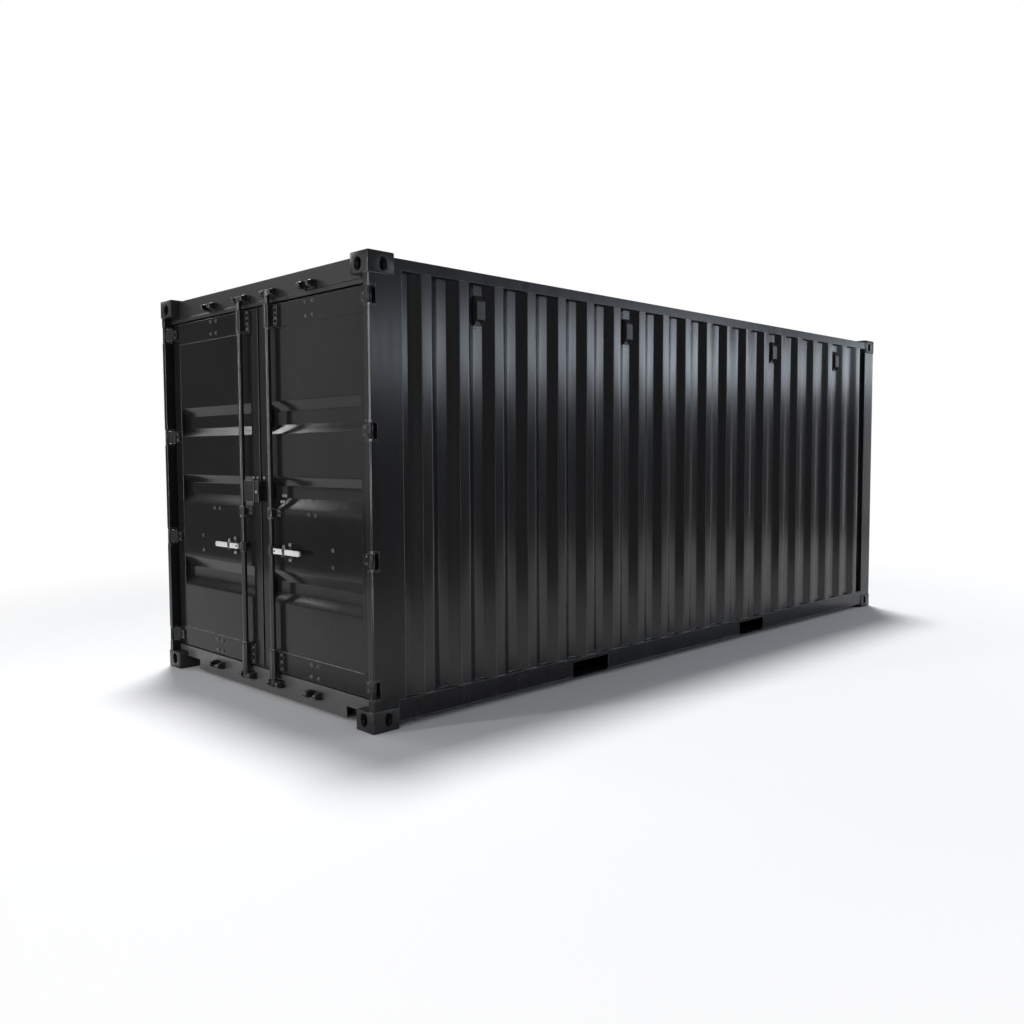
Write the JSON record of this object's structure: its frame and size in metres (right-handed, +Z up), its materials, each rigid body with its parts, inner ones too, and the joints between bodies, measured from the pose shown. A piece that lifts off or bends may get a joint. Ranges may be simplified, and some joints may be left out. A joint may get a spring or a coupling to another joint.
{
  "type": "shipping container",
  "caption": "Steel freight container with corrugated walls, double cargo doors with lock bars and lifting handles, corner fittings and fork pockets.",
  "frame": {"origin": "centre of the footprint, on the ground plane under the corner fittings", "axes": "+X along the length from the doors to the blind end, +Y to the left of someone who faces the doors, +Z up"},
  "size_m": [6.058, 2.438, 2.591],
  "materials": {
    "black_paint": "semi-gloss black paint",
    "zinc_handle": "bright zinc plate",
    "rubber_seal": "matt black rubber",
    "plywood": "worn plywood",
    "vent_plastic": "matt black plastic"
  },
  "bodies": {
    "container_frame": {"blind_sill": "black_paint", "blind_top_rail": "black_paint", "blind_wall": "black_paint", "cross_members": "black_paint", "door_header": "black_paint", "door_sill": "black_paint", "floor_boards": "plywood", "fork_pockets": "black_paint", "left_blind_post": "black_paint", "left_bottom_side_rail": "black_paint", "left_door_post": "black_paint", "left_hinge_brackets": "black_paint", "left_side_wall": "black_paint", "left_top_side_rail": "black_paint", "left_ventilators": "vent_plastic", "lower_bar_keepers": "black_paint", "lower_corner_fittings": "black_paint", "right_blind_post": "black_paint", "right_bottom_side_rail": "black_paint", "right_door_post": "black_paint", "right_hinge_brackets": "black_paint", "right_side_wall": "black_paint", "right_top_side_rail": "black_paint", "right_ventilators": "vent_plastic", "roof": "black_paint", "upper_bar_keepers": "black_paint", "upper_corner_fittings": "black_paint"},
    "left_door": {"left_door_frame": "black_paint", "left_door_panel": "black_paint", "left_door_gasket": "rubber_seal", "left_hinge_blades": "black_paint", "left_bar_guides": "black_paint", "left_handle_catch": "black_paint", "left_lock_box": "black_paint"},
    "left_lock_bar": {"left_lock_bar": "black_paint"},
    "left_handle": {"left_handle": "zinc_handle"},
    "right_door": {"right_door_frame": "black_paint", "right_door_panel": "black_paint", "right_door_gasket": "rubber_seal", "right_hinge_blades": "black_paint", "right_bar_guides": "black_paint", "right_handle_catch": "black_paint", "right_lock_box": "black_paint"},
    "right_lock_bar": {"right_lock_bar": "black_paint"},
    "right_handle": {"right_handle": "zinc_handle"}
  },
  "joints": [
    {"name": "left_door_hinge", "type": "hinge", "parent": "container_frame", "child": "left_door", "pos_m": [-3.009, 1.199, 1.295], "axis": [0, 0, -1], "range_deg": [0, 265]},
    {"name": "right_door_hinge", "type": "hinge", "parent": "container_frame", "child": "right_door", "pos_m": [-3.009, -1.199, 1.295], "axis": [0, 0, 1], "range_deg": [0, 265]},
    {"name": "left_bar_turn", "type": "hinge", "parent": "left_door", "child": "left_lock_bar", "pos_m": [-3.004, 0.168, 1.295], "axis": [0, 0, -1], "range_deg": [-90, 0]},
    {"name": "right_bar_turn", "type": "hinge", "parent": "right_door", "child": "right_lock_bar", "pos_m": [-3.004, -0.168, 1.295], "axis": [0, 0, 1], "range_deg": [-90, 0]},
    {"name": "left_handle_lift", "type": "hinge", "parent": "left_lock_bar", "child": "left_handle", "pos_m": [-3.018, 0.232, 0.93], "axis": [1, 0, 0], "range_deg": [0, 45]},
    {"name": "right_handle_lift", "type": "hinge", "parent": "right_lock_bar", "child": "right_handle", "pos_m": [-3.018, -0.232, 0.93], "axis": [-1, 0, 0], "range_deg": [0, 45]}
  ]
}
